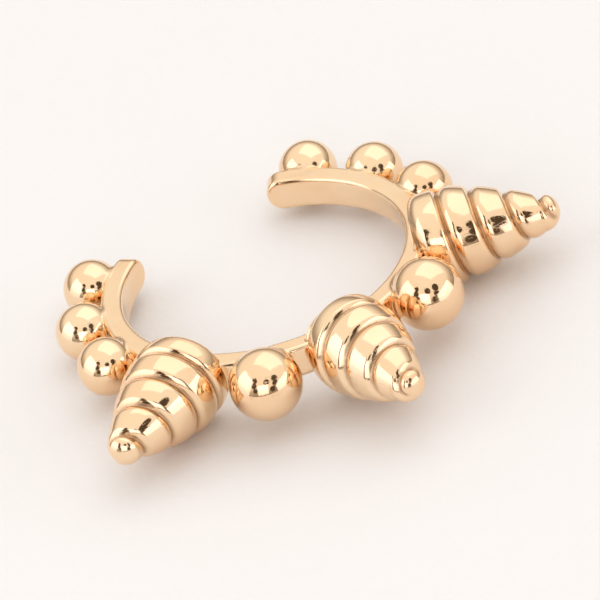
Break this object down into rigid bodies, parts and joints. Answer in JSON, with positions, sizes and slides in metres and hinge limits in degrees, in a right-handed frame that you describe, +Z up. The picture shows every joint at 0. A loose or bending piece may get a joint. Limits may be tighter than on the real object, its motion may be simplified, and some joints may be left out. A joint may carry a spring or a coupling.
{
  "type": "ear cuff",
  "caption": "Open C-shaped ear cuff: a narrow polished gold band with ball beads and spiral spikes standing out around it, clipped over the rim of the ear.",
  "frame": {"origin": "on the surface the cuff lies on, under the middle of its bounding box", "axes": "+Z up, with the cuff lying on its side as it rests; +X to the wearer's side from spike to spike; -Y out along the middle spike, +Y through the opening of the band"},
  "size_m": [0.0164, 0.0144, 0.0032],
  "materials": {
    "gold": "mirror-polished pale gold plating"
  },
  "bodies": {
    "root": {"ear_cuff": "gold"}
  },
  "joints": []
}
